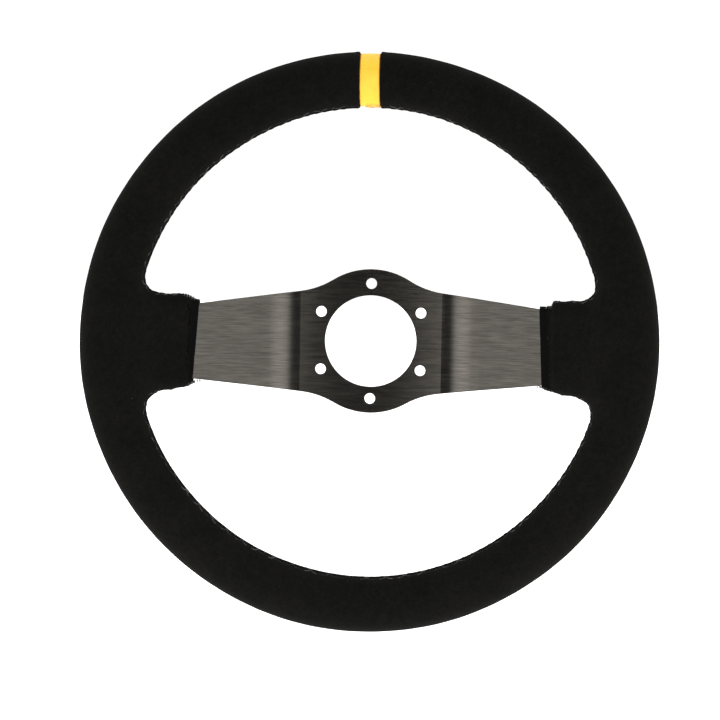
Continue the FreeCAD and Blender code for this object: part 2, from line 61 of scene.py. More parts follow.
# Spokes: a point on the sloped part's middle line (across, depth), its slope, and the room
# that its tongue takes inside a boot.
SPOKE_MIDDLE = (114.82, -17.58)
SLOPE = 0.2614
TONGUE_TOP, TONGUE_BOTTOM, TONGUE_TAPER, TONGUE_END = 21.6, 23.6, 0.15, 150.0
TONGUE_ROOM = 2.05
RING_ROOM_RADIAL, RING_ROOM_AXIAL = 7.1, 2.6

# Boots: the grip runs in over each spoke and ends in a thinner turned hem.
HEM_X, HEM_LEVEL, HEM_LEAN = 103.3, 2.0, 0.045
LEFT_HEM_OUT, LEFT_HEM_LEAN = 1.9, 0.025
HEM_STITCH = 4.6
HEM_HALF, BOOT_HALF = 3.8, 5.5
BOOT_X, BOOT_STEP = 109.9, 1.7
BOOT_GROWTH, BOOT_GROWTH_RUN = 0.125, 28.0
EDGE_START, EDGE_FULL, EDGE_RUN = 104.0, 113.0, 40.0
LEFT_TOP, LEFT_TOP_RISE = 23.3, 3.0
RIGHT_TOP, RIGHT_TOP_RISE = 22.9, 3.2
BOTTOM, LEFT_SLANT, RIGHT_SLANT = 25.2, 0.42, 0.36
BOOT_END = 157.0
BLEND, LEAST_BLEND = 15.0, 3.0
RIM_ONLY = 136.0  # further from the axis than this, no hem or boot end is cut
FAR = 400.0  # large enough to switch a cut off

# Yellow band at twelve o'clock.
MARKER_HALF = 6.15
MARKER_TURN = math.radians(-0.5)
MARKER_SUNK, MARKER_INNER_RISE, MARKER_UNDERSIDE = 1.0, 0.75, 2.1

# Sewing.
LINE_STEP = 0.25
STITCH_PITCH, STITCH_LONG, STITCH_HALF = 11.4, 9.2, 2.5
WHIPS, WHIP_PITCH = 6, 1.75
HEM_STITCH_PITCH, HEM_STITCH_LONG = 3.1, 2.1


# ---------------------------------------------------------------- shape fields

def step(low, high, value):
    """Smooth rise from nought at low to one at high."""
    share = np.clip((value - low) / (high - low), 0.0, 1.0)
    return share * share * (3.0 - 2.0 * share)


def blend_min(first, second, reach):
    """Union of two fields with a fillet of a given reach."""
    share = np.clip(0.5 + 0.5 * (second - first) / reach, 0.0, 1.0)
    return second + (first - second) * share - reach * share * (1.0 - share)


def blend_max(first, second, reach):
    """Overlap of two fields with its edge rounded by a given reach."""
    return -blend_min(-first, -second, reach)


def rim_field(x, y, z):
    """Signed distance to the oval grip, near enough."""
    radial = (np.hypot(x, z) - RING) / HALF_RADIAL
    axial = (y - RIM_Y) / HALF_AXIAL
    size = np.hypot(radial, axial)
    pull = np.hypot(radial / HALF_RADIAL, axial / HALF_AXIAL)
    return size * (size - 1.0) / np.maximum(pull, 1e-6)


def plate_y(across):
    """Depth of the middle of the sloped spoke at a distance from the axis."""
    return SPOKE_MIDDLE[1] - SLOPE * (across - SPOKE_MIDDLE[0])


def boot_half(across):
    """Half thickness of a boot: a thin hem, then full, then growing towards the rim."""
    past_hem = step(BOOT_X - BOOT_STEP, BOOT_X + BOOT_STEP, across)
    growth = np.clip(across - BOOT_X, 0.0, BOOT_GROWTH_RUN) * BOOT_GROWTH
    return HEM_HALF + past_hem * (BOOT_HALF - HEM_HALF) + growth


def boot_top(x):
    """Upper edge: a slope down to the hem on the left boot, a step on the right one."""
    across = np.abs(x)
    slope = LEFT_TOP + step(EDGE_START, EDGE_FULL, across) * LEFT_TOP_RISE
    shoulder = RIGHT_TOP + step(BOOT_X - 0.6, BOOT_X + BOOT_STEP, across) * RIGHT_TOP_RISE
    return np.where(x < 0, slope, shoulder) + np.clip(across - EDGE_FULL, 0.0, EDGE_RUN) * 0.03


def boot_bottom(x):
    """Lower edge, cut off at a slant towards the hem."""
    across = np.abs(x)
    slant = np.where(x < 0, LEFT_SLANT, RIGHT_SLANT)
    cut = slant * np.clip(across - EDGE_START, 0.0, EDGE_FULL - EDGE_START)
    return BOTTOM + cut + np.clip(across - EDGE_FULL, 0.0, EDGE_RUN) * 0.15


def boot_field(x, y, z):
    """Boot that runs in over a spoke, with the thinner turned hem at its end."""
    across = np.abs(x)
    half = boot_half(across)
    top = boot_top(x) - half
    bottom = half - boot_bottom(x)
    beyond = np.maximum(np.maximum(z - top, bottom - z), 0.0)
    away = (np.hypot(y - plate_y(across), beyond) - half) * 0.97
    return np.maximum(away, across - BOOT_END)


def hem_line(x, z):
    """Distance out from the hem's leaning end, which sits further out on the left boot."""
    left = x < 0
    lean = HEM_LEAN + LEFT_HEM_LEAN * left
    return np.abs(x) - HEM_X - LEFT_HEM_OUT * left + (z + HEM_LEVEL) * lean


def join_reach(x):
    """How widely a boot flows into the rim, less and less inside the rim."""
    return BLEND - (BLEND - LEAST_BLEND) * step(BOOT_END - 19.0, BOOT_END - 1.0, np.abs(x))


def boot_share(x, rim, boot):
    return np.clip(0.5 + 0.5 * (rim - boot) / join_reach(x), 0.0, 1.0)


def seam_y(x, share):
    """Depth of the sewn seam: forward of the rim's middle, and mid-edge on a boot."""
    return (RIM_Y - SEAM_FORWARD) * (1.0 - share) + (plate_y(np.abs(x)) - 0.8) * share


def wheel_turn(x, z):
    """Distance along the rim from the marker's middle."""
    return x * math.cos(MARKER_TURN) - z * math.sin(MARKER_TURN)


def plain_grip(x, y, z):
    """Stuffed grip with its two boots, before any seam is pulled in."""
    rim = rim_field(x, y, z)
    boot = boot_field(x, y, z)
    return blend_min(rim, boot, join_reach(x)) + unevenness(x, y, z), boot_share(x, rim, boot)


def plain_surface(x, y, z):
    return plain_grip(x, y, z)[0]


def grip_field(x, y, z):
    """Outside of the stretched hide, with its seams and sewn hems."""
    body, share = plain_grip(x, y, z)
    # the two edges of suede meet in a narrow valley along each window
    inward = np.maximum(step(7.0, 13.0, RING - np.hypot(x, z)), share)
    off_seam = np.abs(y - seam_y(x, share))
    valley = np.exp(-(off_seam / SEAM_WIDTH) ** 2)
    swell = np.exp(-((off_seam - SWELL_PLACE) / SWELL_WIDTH) ** 2)
    body = body + (SEAM_DEPTH * valley - SWELL_HEIGHT * swell) * inward
    # sewn crease of the turned hem
    crease = np.exp(-((hem_line(x, z) - HEM_STITCH) / 0.5) ** 2)
    return body + 0.25 * crease * share


def unevenness(x, y, z):
    """Slow unevenness of the hand-stretched hide, a little fuller towards its seam."""
    turn = np.arctan2(z, x)
    round_grip = np.arctan2(y - RIM_Y, np.hypot(x, z) - RING)
    slow = np.sin(5.0 * turn + 1.1 + np.sin(round_grip)) + np.sin(11.0 * turn + 2.0 * round_grip)
    quick = np.sin(37.0 * turn + 3.0 * round_grip) * np.sin(23.0 * turn - 2.0)
    fuller = step(4.0, 14.0, RING - np.hypot(x, z))
    return 0.07 * slow + 0.05 * quick - FULLER_AT_SEAM * fuller


def from_marker(x, z):
    """Distance round the rim from the marker's middle, large on the lower half."""
    return np.where(z > 0, np.abs(wheel_turn(x, z)), 500.0)


def plate_field(x, y, z):
    """Room that the spoke's tongue takes inside a boot."""
    across = np.abs(x)
    taper = np.clip(across - EDGE_START, 0.0, 60.0) * TONGUE_TAPER
    beyond = np.maximum(z - (TONGUE_TOP - taper), -(TONGUE_BOTTOM - taper) - z)
    slot = np.maximum(np.abs(y - plate_y(across)) - TONGUE_ROOM, beyond)
    return np.maximum(slot, across - TONGUE_END)


def in_rim(x, z):
    """Large where the grip is only rim, so that a cut at a boot's end leaves it alone."""
    return FAR * (np.hypot(x, z) > RIM_ONLY)


def cover_field(x, y, z):
    """Hide stretched over the foam: a thin shell, slit at twelve o'clock for the marker."""
    away = from_marker(x, z)
    rolled_edge = 0.2 * np.exp(-((away - MARKER_HALF - 1.6) / 1.3) ** 2)
    outside = grip_field(x, y, z) - rolled_edge
    inside = plain_surface(x, y, z) + HIDE
    body = np.maximum(np.maximum(outside, -inside), -plate_field(x, y, z))
    body = blend_max(body, -hem_line(x, z) * 0.99 - in_rim(x, z), 0.8)
    return blend_max(body, MARKER_HALF - away, 1.0)


def foam_field(x, y, z):
    """Moulded foam, with room for the ring, the tongues and the marker band."""
    body = np.maximum(plain_surface(x, y, z) + HIDE + 0.1, BOOT_X + 1.5 - np.abs(x) - in_rim(x, z))
    ring = np.maximum(np.abs(np.hypot(x, z) - RING) - RING_ROOM_RADIAL,
                      np.abs(y - RIM_Y) - RING_ROOM_AXIAL)
    body = np.maximum(body, -np.minimum(ring, plate_field(x, y, z)))
    under_marker = from_marker(x, z) < MARKER_HALF + 0.3
    return np.maximum(body, np.where(under_marker, rim_field(x, y, z) + MARKER_UNDERSIDE + 0.1, -50.0))


def marker_field(x, y, z):
    """Band of leather sunk between the hide's two ends, nearly flush at the seam."""
    rim = rim_field(x, y, z)
    away = np.hypot(x, z)
    inward = step(2.0, 15.0, RING - away)
    body = np.maximum(rim + MARKER_SUNK - MARKER_INNER_RISE * inward, -rim - MARKER_UNDERSIDE)
    groove = 0.25 * np.exp(-((y - RIM_Y + SEAM_FORWARD) / 0.7) ** 2) * (away < RING - 8.0)
    return blend_max(body + groove, np.abs(wheel_turn(x, z)) - MARKER_HALF, 0.3)


# ---------------------------------------------------------------- field meshes

def gradient(field, points, reach=0.05):
    """Slope of a field at each point, by central differences."""
    slopes = []
    for axis in range(3):
        shift = np.zeros(3)
        shift[axis] = reach
        ahead = field(*(points + shift).T)
        behind = field(*(points - shift).T)
        slopes.append((ahead - behind) / (2.0 * reach))
    return np.stack(slopes, axis=1)


def settle(field, points, rounds=4):
    """Moves points onto the field's surface and returns them with their normals."""
    for _ in range(rounds):
        slope = gradient(field, points)
        strength = np.maximum((slope * slope).sum(axis=1), 1e-4)
        reach = np.clip(field(*points.T) / strength, -0.6, 0.6)
        points = points - slope * reach[:, None]
    slope = gradient(field, points)
    return points, slope / np.linalg.norm(slope, axis=1)[:, None]


def net_mesh(field, low, high, cell):
    """Closed quad mesh of a field's surface, one point per crossed cell."""
    axes = [np.arange(low[axis], high[axis] + cell, cell) for axis in range(3)]
    inside = np.concatenate([field(*np.meshgrid(slab, axes[1], axes[2], indexing="ij")) < 0.0
                             for slab in np.array_split(axes[0], 24)])
    count = np.array(inside.shape) - 1
    corners = np.zeros(count, dtype=np.int16)
    for dx in (0, 1):
        for dy in (0, 1):
            for dz in (0, 1):
                corners += inside[dx:count[0] + dx, dy:count[1] + dy, dz:count[2] + dz]
    active = (corners > 0) & (corners < 8)
    number = np.full(count, -1, dtype=np.int64)
    number[active] = np.arange(active.sum())
    cells = np.argwhere(active)
    points = np.stack([axes[axis][cells[:, axis]] + cell / 2 for axis in range(3)], axis=1)
    faces = [net_faces(inside, number, axis) for axis in range(3)]
    return settle(field, points)[0], np.concatenate(faces)


def net_faces(inside, number, axis):
    """Quads round every grid edge along one axis that crosses the surface."""
    others = [other for other in range(3) if other != axis]
    ahead = np.take(inside, range(1, inside.shape[axis]), axis=axis)
    behind = np.take(inside, range(inside.shape[axis] - 1), axis=axis)
    spots = np.argwhere(ahead != behind)
    keep = np.all([(spots[:, other] > 0) & (spots[:, other] < number.shape[other])
                   for other in others], axis=0)
    spots = spots[keep]
    leaving = behind[tuple(spots.T)]
    ring = []
    for back_first, back_second in ((1, 1), (0, 1), (0, 0), (1, 0)):
        cell = spots.copy()
        cell[:, others[0]] -= back_first
        cell[:, others[1]] -= back_second
        ring.append(number[tuple(cell.T)])
    quads = np.stack(ring, axis=1)
    if axis == 1:
        leaving = ~leaving
    quads[~leaving] = quads[~leaving][:, ::-1]
    return quads


def make_piece(name, points, faces, material):
    """Turns points in millimetres and faces into one named, smooth piece on the wheel."""
    mesh = bpy.data.meshes.new(name)
    faces = faces if isinstance(faces, list) else faces.tolist()
    mesh.from_pydata((points * MM).tolist(), [], faces)
    mesh.polygons.foreach_set("use_smooth", [True] * len(mesh.polygons))
    mesh.materials.append(material)
    mesh.update()
    piece = bpy.data.objects.new(name, mesh)
    bpy.context.scene.collection.objects.link(piece)
    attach(piece, "root")
    return piece


# ---------------------------------------------------------------- threads

def tubes(paths, radius, sides=6):
    """Closed round threads along many paths of equal length."""
    count, length, _ = paths.shape
    along = np.gradient(paths, axis=1)
    along /= np.linalg.norm(along, axis=2, keepdims=True)
    guide = np.cross(along, np.array([0.31, 0.87, 0.38]))
    guide /= np.linalg.norm(guide, axis=2, keepdims=True)
    other = np.cross(along, guide)
    turns = np.linspace(0.0, 2.0 * math.pi, sides, endpoint=False)
    taper = np.ones(length)
    taper[0] = taper[-1] = 0.55
    rings = (paths[:, :, None, :]
             + radius * taper[None, :, None, None]
             * (np.cos(turns)[None, None, :, None] * guide[:, :, None, :]
                + np.sin(turns)[None, None, :, None] * other[:, :, None, :]))
    points = rings.reshape(-1, 3)
    faces = []
    for thread in range(count):
        base = thread * length * sides
        for ring in range(length - 1):
            for side in range(sides):
                first = base + ring * sides + side
                second = base + ring * sides + (side + 1) % sides
                faces.append((first, second, second + sides, first + sides))
        faces.append(tuple(base + side for side in reversed(range(sides))))
        faces.append(tuple(base + (length - 1) * sides + side for side in range(sides)))
    return points, faces


def seam_line(way):
    """Even points along one window's seam, from the right hem over to the left one."""
    middle = np.array([0.0, way * 70.0])
    ends = [math.atan2(way * 24.0 - middle[1], side * (HEM_X + 1.0)) for side in (1, -1)]
    turns = np.linspace(ends[0], ends[1] + way * 2.0 * math.pi, 6000)
    heading = np.stack([np.cos(turns), np.sin(turns)], axis=1)

    def probe(reach):
        x, z = (middle + heading * reach[:, None]).T
        rim = rim_field(x, RIM_Y, z)
        y = seam_y(x, boot_share(x, rim, boot_field(x, plate_y(np.abs(x)), z)))
        return x, y, z, plain_grip(x, y, z)[0]

    near = np.full(len(turns), 40.0)
    for _ in range(120):
        value = probe(near)[3]
        near = near + np.clip(value * 0.8, -2.0, 2.0)
    x, y, z, value = probe(near)
    line = np.stack([x, y, z], axis=1)[np.abs(value) < 0.05]
    return evened(line)


def evened(line):
    """The same line with points LINE_STEP apart."""
    steps = np.linalg.norm(np.diff(line, axis=0), axis=1)
    run = np.concatenate([[0.0], np.cumsum(steps)])
    spots = np.arange(0.0, run[-1], LINE_STEP)
    return np.stack([np.interp(spots, run, line[:, axis]) for axis in range(3)], axis=1)


def along_seam(line, run, aside, lift):
    """Points a given run along a seam, aside from it, and lifted off the hide."""
    spot = np.clip(run / LINE_STEP, 1, len(line) - 3)
    low = spot.astype(int)
    share = (spot - low)[..., None]
    place = line[low] * (1.0 - share) + line[low + 1] * share
    ahead = line[np.minimum(low + 8, len(line) - 1)] - line[np.maximum(low - 8, 0)]
    ahead /= np.linalg.norm(ahead, axis=-1, keepdims=True)
    shape = place.shape
    slope = gradient(plain_surface, place.reshape(-1, 3)).reshape(shape)
    slope /= np.linalg.norm(slope, axis=-1, keepdims=True)
    across = np.cross(slope, ahead)
    place = place + across * aside[..., None]
    flat, normals = settle(plain_surface, place.reshape(-1, 3))
    return flat.reshape(shape) + normals.reshape(shape) * lift[..., None]


def crossed_stitches(line, seed):
    """Two slanted threads a pitch, crossing over the seam and diving in at their holes."""
    random = np.random.default_rng(seed)
    length = (len(line) - 1) * LINE_STEP
    starts = np.arange(2.0, length - STITCH_LONG - 1.0, STITCH_PITCH)
    starts = starts + random.uniform(-0.35, 0.35, len(starts))
    middle = line[((starts + 0.5 * STITCH_LONG) / LINE_STEP).astype(int)]
    starts = starts[from_marker(middle[:, 0], middle[:, 2]) > MARKER_HALF + 0.55 * STITCH_LONG]
    share = np.linspace(0.0, 1.0, 15)
    paths = []
    for lean, over in ((1.0, 0.3), (-1.0, 0.05)):
        run = starts[:, None] + share[None, :] * STITCH_LONG
        half = STITCH_HALF + random.uniform(-0.25, 0.25, (len(starts), 1))
        aside = lean * half * np.tanh(2.3 * (2.0 * share[None, :] - 1.0))
        rise = np.minimum(1.0, 7.0 * np.minimum(share, 1.0 - share)) ** 0.7
        bridge = over * np.exp(-((share - 0.5) / 0.12) ** 2)
        lift = -0.55 + 0.66 * rise + bridge
        paths.append(along_seam(line, run, aside, np.broadcast_to(lift, run.shape)))
    return np.concatenate(paths)


def corner_whips(line, at_end, seed):
    """Short tight loops that fasten a boot's corner, over the edge beside the hem."""
    random = np.random.default_rng(seed)
    length = (len(line) - 1) * LINE_STEP
    first = 0.8 + np.arange(WHIPS) * WHIP_PITCH
    starts = length - first - 1.0 if at_end else first
    share = np.linspace(0.0, 1.0, 15)
    lean = random.uniform(0.6, 1.6, (WHIPS, 1)) * (-1.0 if at_end else 1.0)
    run = starts[:, None] + share[None, :] * lean
    aside = (2.0 * share[None, :] - 1.0) * random.uniform(2.2, 3.1, (WHIPS, 1))
    rise = np.minimum(1.0, 6.0 * np.minimum(share, 1.0 - share)) ** 0.7
    return along_seam(line, run, aside, np.broadcast_to(-0.5 + 0.85 * rise, run.shape))


def hem_stitches(side):
    """Fine running stitches round a boot's turned hem."""
    share = np.linspace(0.0, 1.0, 9)
    rows = []
    for face in (-1.0, 1.0):
        starts = np.arange(-21.5, 20.0, HEM_STITCH_PITCH)
        z = starts[:, None] + share[None, :] * HEM_STITCH_LONG
        x = HEM_X + HEM_STITCH - hem_line(side * HEM_X, z)
        y = plate_y(x) + face * 6.0
        rows.append(np.stack([side * x, y, z], axis=-1))
    paths = np.concatenate(rows)
    flat, normals = settle(plain_surface, paths.reshape(-1, 3), rounds=14)
    rise = np.minimum(1.0, 5.0 * np.minimum(share, 1.0 - share)) ** 0.7
    lift = np.broadcast_to(-0.45 + 0.5 * rise, paths.shape[:2])
    return flat.reshape(paths.shape) + normals.reshape(paths.shape) * lift[..., None]


def marker_cross():
    """Two pale threads that close the marker band's ends with one long cross."""
    share = np.linspace(0.0, 1.0, 17)
    run = -4.0 + 9.4 * share
    rise = np.minimum(1.0, 7.0 * np.minimum(share, 1.0 - share)) ** 0.7
    paths = []
    for lean, over in ((1.0, 0.45), (-1.0, 0.05)):
        turn = math.pi / 2.0 - run / (RING - HALF_RADIAL)
        away = RING - HALF_RADIAL + 0.35 - 0.45 * rise - over * np.exp(-((share - 0.5) / 0.15) ** 2)
        y = RIM_Y - SEAM_FORWARD + lean * 1.7 * (2.0 * share - 1.0)
        paths.append(np.stack([away * np.cos(turn), y, away * np.sin(turn)], axis=1))
    return np.array(paths)


def make_threads():
    """All the sewing: seams, corner whips, the marker's cross and the hem stitches."""
    # the light patches on the black seam and hem threads are painted highlights
    wax = thread_tone_and_painted_glints("waxed_black_thread", (0.010, 0.010, 0.010), (0.075, 0.073, 0.069))
    fine = thread_tone_and_painted_glints("fine_black_thread", (0.003, 0.003, 0.003), (0.006, 0.006, 0.006))
    pale_flecked = thread_tone_and_painted_glints("thread_ends_with_pale_flecks", (0.012, 0.012, 0.012), (0.20, 0.195, 0.185))
    for name, way, seed in (("upper", 1, 4), ("lower", -1, 9)):
        line = seam_line(way)
        points, faces = tubes(crossed_stitches(line, seed), 0.34)
        seam = make_piece("seam_stitches_" + name, points, faces, wax)
        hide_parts("seam_thread_" + name)
        for side, at_end in (("right", False), ("left", True)):
            points, faces = tubes(corner_whips(line, at_end, seed + at_end), 0.25)
            make_piece("corner_whip_%s_%s" % (name, side), points, faces, pale_flecked)
    pale = thread_tone_and_painted_glints("pale_yellow_thread", (0.55, 0.30, 0.05), (0.95, 0.75, 0.35))
    points, faces = tubes(marker_cross(), 0.36)
    make_piece("marker_cross_stitch", points, faces, pale)
    for name, side in (("right", 1.0), ("left", -1.0)):
        points, faces = tubes(hem_stitches(side), 0.24)
        hem = make_piece("hem_stitches_" + name, points, faces, fine)
        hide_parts("hem_thread_" + name)


# ---------------------------------------------------------------- materials

class Nodes:
    """Small helper that wires a node tree."""

    def __init__(self, tree):
        self.tree = tree
        self.tree.nodes.clear()
        self.place = self.add("ShaderNodeTexCoord")

    def add(self, kind, **settings):
        node = self.tree.nodes.new(kind)
        for key, value in settings.items():
            setattr(node, key, value)
        return node

    def link(self, source, output, target, entry):
        self.tree.links.new(source.outputs[output], target.inputs[entry])

    def scaled(self, scale):
        mapping = self.add("ShaderNodeMapping")
        mapping.inputs["Scale"].default_value = scale
        self.link(self.place, "Object", mapping, "Vector")
        return mapping

    def noise(self, scale, detail=3.0, rough=0.5, stretch=(1, 1, 1), distortion=0.0):
        noise = self.add("ShaderNodeTexNoise")
        noise.inputs["Scale"].default_value = scale
        noise.inputs["Detail"].default_value = detail
        noise.inputs["Roughness"].default_value = rough
        noise.inputs["Distortion"].default_value = distortion
        self.link(self.scaled(stretch), "Vector", noise, "Vector")
        return noise

    def ramp(self, source, output, stops):
        ramp = self.add("ShaderNodeValToRGB")
        bar = ramp.color_ramp
        while len(bar.elements) < len(stops):
            bar.elements.new(0.5)
        for element, (spot, colour) in zip(bar.elements, stops):
            element.position = spot
            element.color = (*colour, 1.0)
        self.link(source, output, ramp, "Fac")
        return ramp

    def math(self, operation, first, second):
        node = self.add("ShaderNodeMath", operation=operation)
        for entry, value in enumerate((first, second)):
            if isinstance(value, tuple):
                self.tree.links.new(value[0].outputs[value[1]], node.inputs[entry])
            else:
                node.inputs[entry].default_value = value
        return node

    def mix(self, blend, share, first, second):
        node = self.add("ShaderNodeMix", data_type="RGBA", blend_type=blend)
        for entry, value in ((0, share), (6, first), (7, second)):
            if isinstance(value, tuple) and not isinstance(value[0], (int, float)):
                self.tree.links.new(value[0].outputs[value[1]], node.inputs[entry])
            elif isinstance(value, tuple):
                node.inputs[entry].default_value = (*value, 1.0)
            else:
                node.inputs[entry].default_value = value
        return node

    def span(self, source, output, low, high, start=0.0, end=1.0, smooth=False):
        """Carries a value between two limits over to another range."""
        kind = "SMOOTHSTEP" if smooth else "LINEAR"
        node = self.add("ShaderNodeMapRange", interpolation_type=kind)
        for entry, value in (("From Min", low), ("From Max", high), ("To Min", start), ("To Max", end)):
            node.inputs[entry].default_value = value
        self.link(source, output, node, "Value")
        return node

    def axes(self, place="Object"):
        """The place on the object, or another place, as X, Y and Z."""
        node = self.add("ShaderNodeSeparateXYZ")
        self.link(self.place, place, node, "Vector")
        return node


class Finish(Nodes):
    """A node material with one main shader."""

    def __init__(self, name):
        self.material = bpy.data.materials.new(name)
        self.material.use_nodes = True
        super().__init__(self.material.node_tree)
        self.shader = self.add("ShaderNodeBsdfPrincipled")
        output = self.add("ShaderNodeOutputMaterial")
        self.link(self.shader, "BSDF", output, "Surface")

    def bump(self, source, output, depth, strength=1.0, below=None):
        bump = self.add("ShaderNodeBump")
        bump.inputs["Distance"].default_value = depth
        bump.inputs["Strength"].default_value = strength
        self.link(source, output, bump, "Height")
        if below is not None:
            self.link(below, "Normal", bump, "Normal")
        self.link(bump, "Normal", self.shader, "Normal")
        return bump

    def set(self, **values):
        for key, value in values.items():
            entry = self.shader.inputs[key.replace("_", " ")]
            entry.default_value = value


def hem_mask(made):
    """One on the turned hems at the boots' ends, nought elsewhere; the suede is made darker there."""
    place = made.axes()
    away = made.math("ABSOLUTE", (place, "X"), 0.0)
    lean = made.math("MULTIPLY", (place, "Z"), HEM_LEAN)
    out = made.math("ADD", (away, "Value"), (lean, "Value"))
    stitches = HEM_X + HEM_STITCH
    near = made.span(out, "Value", (stitches - 0.6) * MM, (stitches + 2.4) * MM, 1.0, 0.0, smooth=True)
    level = made.math("ABSOLUTE", (place, "Z"), 0.0)
    low = made.math("LESS_THAN", (level, "Value"), 40.0 * MM)
    return made.math("MULTIPLY", (near, "Result"), (low, "Value"))


def suede():
    """Black napped suede: cloudy tone, fibres, rubbed mottling and rare flecks of lint."""
    made = Finish("black_suede_nap")
    patches = made.noise(38.0, detail=4.0, rough=0.6, distortion=0.6)
    tone = made.ramp(patches, "Fac", [(0.32, (0.0044, 0.0044, 0.0043)),
                                      (0.68, (0.0057, 0.0056, 0.0054))])
    fibre = made.noise(1500.0, detail=2.0, rough=0.7)
    flecks = made.ramp(fibre, "Fac", [(0.25, (0.55, 0.55, 0.55)), (0.75, (1.5, 1.5, 1.47))])
    colour = made.mix("MULTIPLY", 1.0, (tone, "Color"), (flecks, "Color"))
    rubbed = made.noise(330.0, detail=3.0, rough=0.6, distortion=0.4)
    mottle = made.ramp(rubbed, "Fac", [(0.33, (0.84, 0.84, 0.84)), (0.67, (1.16, 1.155, 1.14))])
    colour = made.mix("MULTIPLY", 1.0, (colour, 2), (mottle, "Color"))
    # the suede is made darker on the turned hems
    colour = made.mix("MIX", (hem_mask(made), "Value"), (colour, 2), (0.0036, 0.0036, 0.0036))
    lint = made.add("ShaderNodeTexVoronoi")
    lint.inputs["Scale"].default_value = 85.0
    made.link(made.scaled((1, 1, 1)), "Vector", lint, "Vector")
    spot = made.ramp(lint, "Distance", [(0.0, (1, 1, 1)), (0.035, (0, 0, 0))])
    pick = made.add("ShaderNodeSeparateColor")
    made.link(lint, "Color", pick, "Color")
    rare = made.math("GREATER_THAN", (pick, "Red"), 0.9)
    share = made.math("MULTIPLY", (rare, "Value"), (spot, "Color"))
    colour = made.mix("MIX", (share, "Value"), (colour, 2), (0.12, 0.118, 0.11))
    made.link(colour, 2, made.shader, "Base Color")
    nap = made.bump(fibre, "Fac", 0.00022, 0.7)
    brushed = made.noise(240.0, detail=3.0, rough=0.6)
    made.bump(brushed, "Fac", 0.00035, 0.5, below=nap)
    made.set(Roughness=0.95, Specular_IOR_Level=0.0, Sheen_Weight=0.035,
             Sheen_Roughness=0.5, Sheen_Tint=(0.9, 0.88, 0.84, 1.0))
    return made.material


def brushed_plate():
    """Dark anodised plate, brushed along its spokes."""
    made = Finish("dark_brushed_anodised")
    streaks = made.noise(1500.0, detail=3.0, rough=0.65, stretch=(0.05, 0.05, 1.0))
    fine = made.ramp(streaks, "Fac", [(0.3, (0.66, 0.66, 0.66)), (0.7, (1.34, 1.34, 1.34))])
    coarse = made.noise(130.0, detail=2.0, rough=0.5, stretch=(0.15, 0.15, 1.0))
    broad = made.ramp(coarse, "Fac", [(0.3, (0.95, 0.95, 0.95)), (0.7, (1.05, 1.05, 1.05))])
    colour = made.mix("MULTIPLY", 1.0, (fine, "Color"), (broad, "Color"))
    colour = made.mix("MULTIPLY", 1.0, (colour, 2), (0.0690, 0.0638, 0.0565))
    made.link(colour, 2, made.shader, "Base Color")
    rough = made.ramp(streaks, "Fac", [(0.2, (0.13, 0.13, 0.13)), (0.8, (0.18, 0.18, 0.18))])
    made.link(rough, "Color", made.shader, "Roughness")
    made.bump(streaks, "Fac", 0.00002, 0.5)
    across = made.add("ShaderNodeCombineXYZ")
    across.inputs["Z"].default_value = 1.0
    made.link(across, "Vector", made.shader, "Tangent")
    made.set(Metallic=1.0, Anisotropic=0.85)
    return made.material


def marker_leather():
    """Smooth yellow leather with fine grain and darker cut edges."""
    made = Finish("yellow_marker_leather")
    grain = made.add("ShaderNodeTexVoronoi", feature="DISTANCE_TO_EDGE")
    grain.inputs["Scale"].default_value = 900.0
    made.link(made.scaled((1, 1, 1)), "Vector", grain, "Vector")
    cloud = made.noise(180.0, detail=3.0)
    tone = made.ramp(cloud, "Fac", [(0.3, (0.97, 0.54, 0.038)), (0.7, (1.0, 0.59, 0.045))])
    place = made.axes()
    tilted = made.math("MULTIPLY", (place, "Z"), -math.tan(MARKER_TURN))
    across = made.math("ADD", (place, "X"), (tilted, "Value"))
    away = made.math("ABSOLUTE", (across, "Value"), 0.0)
    edge = made.span(away, "Value", (MARKER_HALF - 0.9) * MM, (MARKER_HALF - 0.1) * MM, smooth=True)
    colour = made.mix("MIX", (edge, "Result"), (tone, "Color"), (0.42, 0.13, 0.012))
    made.link(colour, 2, made.shader, "Base Color")
    made.bump(grain, "Distance", 0.00006, 0.5)
    made.set(Roughness=0.55, Specular_IOR_Level=0.35)
    return made.material


def thread_tone_and_painted_glints(name, dark, light):
    """Twisted waxed thread in random patches from a dark tone to a light one; on the black seam and hem
    threads the light patches are painted highlights.
    """
    made = Finish(name)
    twist = made.add("ShaderNodeTexWave", bands_direction="DIAGONAL")
    twist.inputs["Scale"].default_value = 900.0
    twist.inputs["Distortion"].default_value = 1.0
    made.link(made.scaled((1, 1, 1)), "Vector", twist, "Vector")
    # random spots of the light tone: painted highlights on the black threads, pale flecks on the thread
    # ends, a lighter tone on the pale marker thread
    tone_and_glint_spots = made.noise(160.0, detail=2.0)
    tone = made.ramp(tone_and_glint_spots, "Fac", [(0.42, dark), (0.66, light)])
    made.link(tone, "Color", made.shader, "Base Color")
    made.bump(twist, "Fac", 0.00012, 0.6)
    made.set(Roughness=0.6, Specular_IOR_Level=0.08)
    return made.material


def plain_metal(name, colour, rough):
    """Unfinished metal of a hidden part, with a faint grain."""
    made = Finish(name)
    grain = made.noise(600.0, detail=3.0)
    tone = made.ramp(grain, "Fac", [(0.3, tuple(part * 0.85 for part in colour)), (0.7, colour)])
    made.link(tone, "Color", made.shader, "Base Color")
    made.bump(grain, "Fac", 0.00003, 0.4)
    made.set(Metallic=1.0, Roughness=rough)
    return made.material


def foam_skin():
    """Porous black skin of the moulded foam."""
    made = Finish("moulded_foam_skin")
    pores = made.noise(1200.0, detail=2.0)
    tone = made.ramp(pores, "Fac", [(0.3, (0.02, 0.02, 0.02)), (0.7, (0.035, 0.035, 0.034))])
    made.link(tone, "Color", made.shader, "Base Color")
    made.bump(pores, "Fac", 0.00008, 0.5)
    made.set(Roughness=0.7)
    return made.material


# ---------------------------------------------------------------- set

